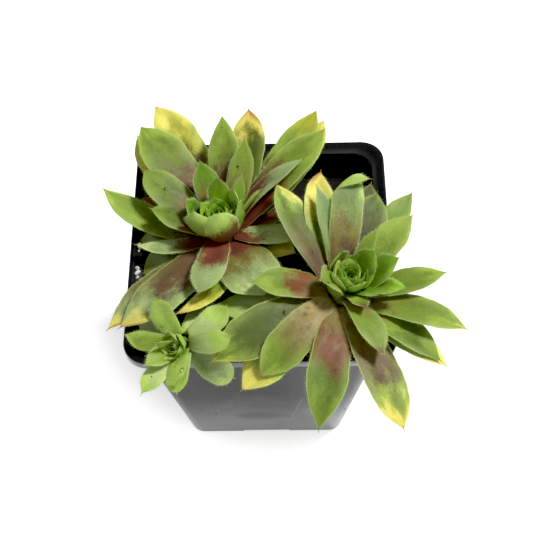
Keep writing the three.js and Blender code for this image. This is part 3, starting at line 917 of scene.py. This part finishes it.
# %% The left hen
HEN_LEFT = {
    "foot": (-13, 4), "place": (-13, 4, 87), "lean": 8, "toward": 110,
    "crown": 5.5, "dome": 12, "thickness": 0.24, "bud": 12, "seed": 100,
    "bud_words": ("moss moss vivid", "dark moss vivid", "dark dark moss"),
    "leaves": [
        (118, 61, 50.5, 15, 0.05, 3, -2, 0, "wine plum lemon gold blunt"),
        (130, 66, 45.5, 15, 0, 3, 1, 0, "wine fresh gold gold blunt"),
        (47, 70, 52, 15, 0, 3, -3, 0, "wine leaf fresh gold blunt"),
        (-133, 87, 48, 13, 0.05, 1.5, 0, 0, "plum plum grey gold rust late left"),
        (-110, 77, 35.5, 7.5, 0, 0, 7, 0, "leaf leaf lemon gold rust"),
        (-178, 82, 23.5, 12.5, 0, 1, 0, 0, "wine plum umber grey olive blots blunt"),
        (-153, 89, 25, 13.5, 0, 1, 0, 0, "umber umber grey olive olive blots blunt"),
        (150, 78, 28.5, 11.5, 0, 1, 0, 0, "plum plum plum wine"),
        (-21, 84, 22, 12, 0.05, 1, 1, 0, "plum umber lemon gold"),
        (162, 69, 40.5, 11.5, 0.1, 0, 4.5, 0, "brick leaf fresh fresh lime"),
        (129, 62, 44.5, 16, 0.25, 3, 0, 0, "wine wine olive leaf fresh early blunt"),
        (77, 63, 44.5, 13, 0.1, 3, -3, 0, "plum pine pine gold rust blunt"),
        (51, 69, 53, 13, 0.1, 3, -3, 0, "wine plum fresh lemon blunt"),
        (39, 66, 46.5, 14, 0.3, 3, -2, 0, "wine wine leaf fresh blunt"),
        (20, 77, 24.5, 11, 0.2, 1, 0, 0, "wine wine plum plum"),
        (-62, 84, 28, 20, 0.2, 1, 0, 0, "wine umber grey pale blots blunt"),
        (-129, 87, 46, 16, 0.2, 2, 3, 0, "plum plum grey gold rust late left"),
        (-164, 77, 25, 6.5, 0.3, 0, 3, 0, "wine plum grey pale"),
        (-8, 82, 26, 9, 0.35, 1, -2, 0, "wine pale pale pale left"),
        (148, 58, 30, 13, 0.4, 2, 2, 0, "brick umber deep leaf early blunt"),
        (178, 58, 21.5, 11, 0.5, 1, 1, 0, "wine plum deep leaf"),
        (87, 49, 36.5, 11, 0.45, 2, -1, 0, "wine plum leaf fresh"),
        (65, 41, 28.5, 9, 0.6, 1, -2, 0, "umber beige fresh fresh blots"),
        (29, 61, 33, 9, 0.5, 2, 1, 20, "wine wine grey grey right"),
        (-100, 78, 29, 11, 0.5, 1, 1, 0, "wine wine grey grey blunt"),
        (7, 36, 18.5, 7, 0.65, 1, 0, 30, "wine wine lime lime right"),
        (46, 31, 16.5, 6.5, 0.75, 0, -1, 0, "lime lime lime lime"),
        (111, 40, 20, 9, 0.75, -1, 0, 0, "umber umber moss moss leaf"),
        (88, 19, 14.5, 7.5, 0.85, -1, 0, 0, "vivid vivid vivid fresh"),
        (35, 17, 12.5, 8, 0.8, -1, 0, 0, "vivid vivid lime lime"),
        (172, 34, 13, 9, 0.75, -1, 0, 0, "dark dark dark moss"),
        (-140, 20, 15.5, 11.5, 0.65, -1.5, 1, -34, "wine fresh fresh lime"),
        (-80, 9, 14.5, 12, 0.6, -2.5, 0, 0, "wine brick lime lime late right round"),
        (-13, 14, 13, 10, 0.65, -1.5, 0, 0, "umber moss moss moss"),
    ],
}
print("left hen:", len(HEN_LEFT["leaves"]), "leaves and a bud")

# %% [markdown]
# The right hen is the taller of the two and leans to the right. Its outer leaves hang over the rim,
# so they spread by more than 90 degrees. One of them has its end folded over.

# %% The right hen
HEN_RIGHT = {
    "foot": (26.5, -22.5), "place": (26.5, -22.5, 91), "lean": 16, "toward": 25,
    "crown": 5.5, "dome": 11, "thickness": 0.24, "bud": 14, "seed": 101,
    "bud_words": ("moss vivid lime", "dark moss vivid", "dark dark moss"),
    "leaves": [
        (101, 69, 41, 11.5, 0, 3, 3.5, 0, "leaf leaf lemon gold rust blunt"),
        # Painted shade darkens the root end and the middle of this leaf.
        (73, 63, 33, 13, 0.3, 2, 0, 0, "shade shade dim deep olive blunt"),
        (-38, 82, 37, 12, 0, 3, -1, 0, "lime lime lime gold"),
        (-134, 110, 40.5, 14, 0, 3, 0, 0, "leaf leaf lime gold blunt"),
        (-178, 108, 37.5, 12, 0, 1, 2, 0, "umber lime pale lime blots"),
        (125, 73, 38.5, 12, 0.25, 1, 1, 0, "plum dusk deep fresh gold right blots blunt"),
        # Painted shade: this leaf lies in the shadow of the folded leaf.
        (77, 65, 38, 10.5, 0.05, 2, 0, 0, "shade shade shade dim blunt"),
        (57, 64, 40.5, 10.5, 0.15, 2, 0, 0, "deep deep moss leaf"),
        (47, 55, 31, 11, 0.35, 2, 0, 0, "umber leaf fresh fresh"),
        (-24, 72, 38, 12, 0.2, 3, 0, 0, "beige leaf leaf fresh gold blots"),
        (-40, 82, 34.5, 12, 0.2, 3, 0, 0, "beige fresh deep leaf"),
        (-66, 99, 44.5, 14, 0.2, 3, -1, 0, "beige umber plum fresh gold blots early blunt"),
        (-98, 107, 42, 13.5, 0.2, 4, -1, 0, "umber brick deep leaf blots"),
        (-131, 108, 35, 13, 0.25, 4, 0, 16, "beige umber leaf fresh late blots blunt"),
        (-148, 102, 44, 16, 0.1, 2, -1, 14, "umber pine pine leaf lemon"),
        (-179, 91, 25.5, 12, 0.35, 1, 0, 0, "umber brick leaf fresh blots"),
        (110, 63, 32, 7.5, 0.4, 1, -1.5, 12, "umber blue blue blue grey"),
        (90, 60, 41, 11, 0.4, 2, 1, 10, "plum umber blue lime lime blots folded"),
        (3, 61, 30, 10, 0.4, 1, -1, 0, "umber leaf leaf fresh"),
        (-68, 84, 24, 9.5, 0.5, 2, 0, 0, "beige leaf leaf leaf plum"),
        (61, 36, 19, 6, 0.55, 1, 0, 25, "leaf fresh fresh fresh"),
        (-24, 49, 18, 7.5, 0.65, 1, 0, 0, "moss moss moss vivid"),
        (8, 31, 18.5, 10.5, 0.6, 0, 0, 0, "moss moss moss vivid fresh"),
        (-157, 45, 10, 11, 0.6, 2.5, 0, 0, "leaf fresh leaf leaf"),
        (-69, 61, 10.5, 5.5, 0.7, 0, 0, 0, "leaf fresh leaf plum"),
        (-39, 52, 11.5, 5, 0.75, 0, 0, 0, "dark moss fresh moss"),
        (135, 10, 11.5, 9.5, 0.7, -1, 0, 0, "umber dark umber moss"),
        (35, 16, 14, 9, 0.75, 0, 0, 0, "moss moss moss vivid fresh"),
    ],
}
print("right hen:", len(HEN_RIGHT["leaves"]), "leaves and a bud")

# %% [markdown]
# The chick is a young offset. It leans out over the corner of the pot, and its leaves are short,
# plump and pale, without any red.

# %% The chick
CHICK = {
    "foot": (-21, -31), "place": (-24, -38.7, 92), "lean": 42, "toward": -125,
    "crown": 3, "dome": 7.5, "thickness": 0.26, "bud": 9, "seed": 102,
    "bud_words": ("vivid lime lime", "moss vivid lime", "moss vivid vivid"),
    "leaves": [
        (156, 85, 14.5, 8.5, 0, 1, 0, 0, "pale pale grey grey blunt"),
        (71, 149, 14, 8, 0.1, 0.5, 0, 0, "lime pale pale pale blunt"),
        (37, 119, 15.5, 8.5, 0.15, 1, -1, 0, "pale pale lime fresh fresh blunt"),
        (-38, 88.5, 17.5, 10, 0.15, 0.6, -0.5, 0, "grey grey grey pale lime round"),
        (-84, 46, 16, 8.5, 0.25, 1, 0, 0, "pale pale lime lime round"),
        (163, 65, 16.5, 6.5, 0.25, 1, 1, 0, "leaf fresh fresh lime"),
        (112, 81, 14.5, 8.5, 0.4, 1, 0, 0, "lime lime lime lime fresh"),
        (3, 85, 16, 7, 0.35, 1.8, -1, 0, "pale pale lime lime fresh blunt"),
        (-121, 38, 20, 7.5, 0.4, 1, 0, 0, "pale pale pale lime blunt"),
        (-78, 39, 15, 8, 0.5, 1, 0, 0, "fresh lime lime lime fresh round"),
        (-144, 21, 14, 6.5, 0.55, 1, 0, 0, "vivid fresh fresh fresh"),
        (75, 22, 8.5, 5, 0.65, 1, 0, 20, "lime lime lime fresh"),
        (133, 4, 10.5, 4.5, 0.7, 1, 0, 20, "lime lime lime fresh"),
    ],
}
ROSETTES = {"hen_left": HEN_LEFT, "hen_right": HEN_RIGHT, "chick": CHICK}
print("chick:", len(CHICK["leaves"]), "leaves and a bud")

# %% [markdown]
# ## The bud
# At the heart of a rosette the youngest leaves stand nearly upright and close over the growing tip,
# each a golden angle on from the last. A rule places them better than a list could.

# %% Lay out the bud leaves
GOLDEN_ANGLE = 137.5
INNER_LEAVES = 9
SMALLEST_BUD = 4.0


def bud_rows(rosette):
    """The closing leaves round the bud, and the smallest ones inside them."""
    draw = repeatable_draws(rosette["seed"])
    scale = max(rosette["crown"], SMALLEST_BUD)
    rows = []
    for i in range(rosette["bud"]):
        age = i / rosette["bud"]
        turn = i * GOLDEN_ANGLE + 8 * draw()
        spread = 4 + 26 * age + 3 * draw()
        length, width = scale * (0.95 + 0.65 * age), scale * (0.75 + 0.6 * age)
        words = rosette["bud_words"][i % 3]
        rows.append((turn, spread, length, width, 0.93 - 0.12 * age, -0.4, 0, 0, words))
    for i in range(INNER_LEAVES):
        age = i / INNER_LEAVES
        size = scale * (0.62 + 0.4 * age)
        turn, spread = i * GOLDEN_ANGLE + 60, 2 + 12 * age
        words = rosette["bud_words"][1]
        rows.append((turn, spread, size, 0.9 * size, 0.97 - 0.1 * age, -0.3, 0, 0, words))
    return rows


for name, rosette in ROSETTES.items():
    rosette["rows"] = rosette["leaves"] + bud_rows(rosette)
    print(name, len(rosette["leaves"]), "listed leaves,", len(rosette["rows"]), "in all")

# %% [markdown]
# ## Growing a rosette
# All leaves of a rosette go into one mesh, because they grow together at the crown. The rosette is
# worked out upright and then leaned towards its compass direction, as the measured solid is. Each
# leaf's words are stored on its points: its five paints, and how it is blotched or lopsided.

# %% Grow the leaves
def lean_matrix(rosette):
    toward = math.radians(rosette["toward"])
    hinge = Vector((-math.sin(toward), math.cos(toward), 0))
    return np.array(Matrix.Rotation(math.radians(rosette["lean"]), 3, hinge))


def in_place(rosette, points):
    return points @ lean_matrix(rosette).T + np.array(rosette["place"], float)


def grow(name, rosette):
    points, faces, values = [], [], {key: [] for key in ("leaf_place", "leaf_grain", "leaf_turns", *STOPS)}
    for number, row in enumerate(rosette["rows"]):
        leaf, place, grain = leaf_points(rosette, row, number + rosette["seed"])
        faces += tube_faces(RINGS + 1, AROUND, sum(len(p) for p in points))
        points.append(in_place(rosette, leaf))
        values["leaf_place"].append(place)
        values["leaf_grain"].append(grain)
        for key, value in colouring(row[8]).items():
            values[key].append(np.tile(value, (len(leaf), 1)))
    stored = {key: np.concatenate(data) for key, data in values.items()}
    leaves = piece(name + "_leaves", np.concatenate(points), faces, stored)
    leaves.data.materials.append(leaf_green)
    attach(leaves, "root")
    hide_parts(name)
    print(name, len(points), "leaves,", len(faces), "faces")


for name, rosette in ROSETTES.items():
    grow(name, rosette)

# %% [markdown]
# ## Fringes of fine hairs
# Along the edges of every leaf stands a fringe of stiff white hairs, up to a millimetre long. Seen
# from a step away they make the edges look frosted. Hair strands would be the usual tool for fur,
# but these are few and stiff, so each is a slim three-sided spike of real mesh, rooted in the edge.

# %% Comb the fringes
HAIR_GAP = 0.42
HAIR_RADIUS = 0.055
HAIR_LENGTH = (0.5, 1.05)
HAIR_REACH = (0.2, 0.985)
HAIR_FORWARD = (0.35, 0.9)
HAIR_UPWARD = (-0.25, 0.45)


def fringe_points(rosette, row, rng):
    """Corners of the spikes along one leaf's two edges: three at each root, then its point."""
    length, width = row[2], row[3]
    count = max(8, int(length * 0.8 / HAIR_GAP))
    u = np.linspace(*HAIR_REACH, count) + rng.uniform(-0.4, 0.4, count) * 0.8 / count
    u = np.clip(u, 0, 0.99)
    middle, tangent, side, out = midline(rosette, row, u)
    half = np.maximum(half_width(row, u), TIP_RADIUS)
    spikes = []
    for hand in (-1.0, 1.0):
        root = middle + side * (half * hand * 0.985)[:, None] + out * (CUP * half)[:, None]
        forward = rng.uniform(*HAIR_FORWARD, (count, 1))
        upward = rng.uniform(*HAIR_UPWARD, (count, 1))
        way = unit(side * hand + tangent * forward + out * upward)
        long = rng.uniform(*HAIR_LENGTH, (count, 1)) * (0.6 + 0.4 * min(1.0, width / 6))
        thick = HAIR_RADIUS * (1 + 0.4 * row[4])
        for turn in (0, 120, 240)[::-int(hand)]:
            c, s = math.cos(math.radians(turn)) * thick, math.sin(math.radians(turn)) * thick
            spikes.append(root + tangent * c + out * s)
        spikes.append(root + way * long)
    corners = np.concatenate([np.stack(spikes[:4], 1), np.stack(spikes[4:], 1)]).reshape(-1, 3)
    return fold_over(corners, rosette, row)


def fringe(name, rosette):
    rng = np.random.default_rng(rosette["seed"])
    points = np.concatenate([fringe_points(rosette, row, rng) for row in rosette["rows"]])
    corners = np.arange(0, len(points), 4)[:, None]
    spike_faces = [(0, 1, 3), (1, 2, 3), (2, 0, 3), (2, 1, 0)]
    faces = np.concatenate([corners + np.array(face) for face in spike_faces])
    hairs = piece(name + "_hairs", in_place(rosette, points), faces.tolist(), smooth=False)
    hairs.data.materials.append(hair_white)
    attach(hairs, "root")
    print(name, len(corners), "hairs")


hair_white, r, shader = surface("hair_white", Roughness=0.5)
tint = r.between(r.noise(r.object_place(), 300.0, 2.0), 0.0, 1.0)
r.put(shader.inputs["Base Color"], r.colour(tint, (0.30, 0.42, 0.12), (0.56, 0.66, 0.34)))
for name, rosette in ROSETTES.items():
    fringe(name, rosette)

# %% [markdown]
# ## Stems
# Under the leaves a short stem, brown and ringed with the scars of shed leaves, joins each rosette
# to its roots. It is swept as a tube from its hole in the soil to a dome inside the rosette.

# %% Raise the stems
STEM_RADIUS = 3.4
STEM_DEPTH = 9.0
STEM_RINGS = 40
STEM_AROUND = 24


def stem(name, rosette):
    share = rosette["crown"] / HEN_LEFT["crown"]
    foot = np.array([*rosette["foot"], SOIL_HEIGHT - STEM_DEPTH], float)
    top = in_place(rosette, np.array([[0, 0, rosette["dome"] * 0.96]]))[0]
    base = np.array(rosette["place"], float)
    t = np.linspace(0, 1, STEM_RINGS)[:, None]
    line = (1 - t) ** 2 * foot + 2 * t * (1 - t) * (base - (top - base) * 0.25) + t ** 2 * top
    scars = 1 + 0.05 * np.sin(t[:, 0] * 46) + 0.03 * np.sin(t[:, 0] * 17)
    swell = 1 + 0.62 * np.exp(-((t[:, 0] - 0.66) / 0.16) ** 2)
    radius = STEM_RADIUS * share * scars * swell * np.sqrt(np.clip(1.02 - t[:, 0] ** 6, 0, 1))
    tangent = unit(np.gradient(line, axis=0))
    side = unit(np.cross(tangent, (0.0, 1.0, 0.0)))
    other = np.cross(tangent, side)
    angle = 2 * math.pi * np.arange(STEM_AROUND) / STEM_AROUND
    round_ = side[:, None] * np.cos(angle)[None, :, None] + other[:, None] * np.sin(angle)[None, :, None]
    points = line[:, None] + round_ * radius[:, None, None]
    points = np.concatenate([points.reshape(-1, 3), [line[0], line[-1]]])
    ages = np.append(np.repeat(t[:, 0], STEM_AROUND), [0.0, 1.0])
    faces = tube_faces(STEM_RINGS, STEM_AROUND)
    made = piece(name + "_stem", points, faces, {"stem_age": np.repeat(ages, 3)})
    made.data.materials.append(stem_bark)
    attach(made, "root")


stem_bark, r, shader = surface("stem_bark", Roughness=0.75)
bark = use_group(r, crumbly_earth, Dark=(0.055, 0.035, 0.018), Light=(0.17, 0.13, 0.06), Scale=500.0)
young = r.ease(r.parts(r.stored("stem_age"))[0], 0.55, 0.75)
r.put(shader.inputs["Base Color"], r.colour(young, bark["Colour"], PAINTS["olive"]))
r.put(shader.inputs["Normal"], bark["Normal"])
for name, rosette in ROSETTES.items():
    stem(name, rosette)
print("stems:", len(ROSETTES))

# %% [markdown]
# ## Dead leaves
# The lowest leaves of a rosette die first. They lose their water, shrink to thin brown scraps and
# stay hanging under the living ones. They grow by the same rule as these, narrow and crumpled.

# %% Hang the dead leaves
DEAD_LEAVES = [
    ("hen_right", (42, 74, 21, 6, 0, 1, 1, 60, "")), ("hen_right", (160, 104, 19, 6, 0, 2, 1, 30, "")),
    ("hen_left", (-32, 97, 22, 7, 0, 2, -1, -30, "")), ("hen_left", (172, 100, 20, 6, 0, 3, 2, 40, "")),
]
CRUMPLE = 0.35


def dead_leaves():
    points, faces = [], []
    for number, (name, row) in enumerate(DEAD_LEAVES):
        leaf, _, grain = leaf_points({**ROSETTES[name], "thickness": 0.10}, row, number)
        leaf += CRUMPLE * np.sin(grain[:, [1, 0, 1]] * (2.1, 1.3, 3.0) + number + leaf[:, [2, 0, 1]])
        faces += tube_faces(RINGS + 1, AROUND, sum(len(p) for p in points))
        points.append(in_place(ROSETTES[name], leaf))
    return piece("dead_leaves", np.concatenate(points), faces)


dead = dead_leaves()
dry_skin, r, shader = surface("dry_skin", Roughness=0.8)
bark = use_group(r, crumbly_earth, Dark=(0.060, 0.036, 0.016), Light=(0.260, 0.165, 0.075), Scale=350.0)
wear(r, shader, bark, Base_Color="Colour", Normal="Normal")
dead.data.materials.append(dry_skin)
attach(dead, "root")
print("dead leaves:", len(DEAD_LEAVES))

# %% [markdown]
# ## Water drops and grit
# A plant that has just been watered keeps a few drops on its waxy leaves, and grains of grit that
# the water splashed up. Each has a place on its leaf, as shares of the length and of the width, or
# on the front wall of the pot, as a side step and a height, so none of them floats.

# %% Find places on the leaves and the wall
def on_leaf(name, number, u, across):
    """A point on the top skin of a listed leaf, and the direction out of the skin there."""
    rosette = ROSETTES[name]
    row = rosette["leaves"][number]
    at = np.array([u])
    middle, _, side, out = midline(rosette, row, at)
    half = half_width(row, at)
    rise = leaf_section(np.array([across]), np.array([True]), half, flesh(rosette, row, at), at)
    point = middle + side * half * across + out * rise
    return in_place(rosette, point)[0], out[0] @ lean_matrix(rosette).T


def on_front(x, height):
    """A point on the front wall of the pot, and the direction out of the wall there."""
    slope = half_outside(1.0) - half_outside(0.0)
    out = np.array([0.0, -1.0, -slope]) / math.hypot(1.0, slope)
    return np.array([x, -half_outside(height), height]), out


print("wall at half its height:", on_front(0.0, POT_HEIGHT / 2)[0].round(1))

# %% [markdown]
# A drop or a grain is a small flattened ball, sunk a little into what it sits on. Water is clear and
# very smooth, and it bends light less than glass does. Grit is nearly black and dull.

# %% Place the drops and the grit
DROPS = [
    ("hen_left", 19, 0.67, 0.0, 0.75), ("chick", 6, 0.37, 0.6, 0.8), ("chick", 3, 0.42, -0.35, 0.9),
    ("chick", 9, 0.70, 0.75, 0.7), ("hen_right", 14, 0.36, -0.22, 0.6), ("hen_right", 12, 0.55, 0.3, 0.4),
]
GRIT = [
    ("hen_left", 22, 0.66, 0.31, 0.42), ("hen_left", 22, 0.63, 0.20, 0.25),
    ("hen_left", 20, 0.72, -0.13, 0.28), ("hen_right", 23, 0.84, 0.5, 0.32), ("chick", 8, 0.69, -0.18, 0.22),
    ("hen_left", 9, 0.27, 0.39, 0.3), ("hen_left", 21, 0.88, 0.10, 0.22), ("hen_right", 5, 0.30, 0.2, 0.25),
]
WALL_GRIT = [(-18.8, 23.5, 0.3), (30.2, 27.8, 0.3), (-24.0, 31.0, 0.2), (9.5, 19.0, 0.2)]
FLATNESS = 0.55


def beads(name, spots, sink, finish):
    """One mesh of small flattened beads that sit on the leaves or on the wall."""
    points, faces = [], []
    for i, (*place, radius) in enumerate(spots):
        spot, out = on_leaf(*place) if len(place) == 4 else on_front(*place)
        bead = ball_points - np.outer(ball_points @ out, out) * (1 - FLATNESS)
        points.append(bead * radius + spot + out * radius * (FLATNESS - sink))
        faces.append(ball_faces + i * len(ball_points))
    made = piece(name, np.concatenate(points), np.concatenate(faces).tolist())
    made.data.materials.append(finish)
    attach(made, "root")
    print(name, len(spots))


water, _, _ = surface("water", Base_Color=(1.0, 1.0, 1.0, 1.0), Roughness=0.02, IOR=1.33,
                      Transmission_Weight=1.0)
grit, _, _ = surface("grit", Base_Color=(0.012, 0.009, 0.006, 1.0), Roughness=0.8)
beads("water_drops", DROPS, 0.25, water)
beads("leaf_grit", GRIT, 0.35, grit)
beads("wall_grit", WALL_GRIT, 0.35, grit)

# %% [markdown]
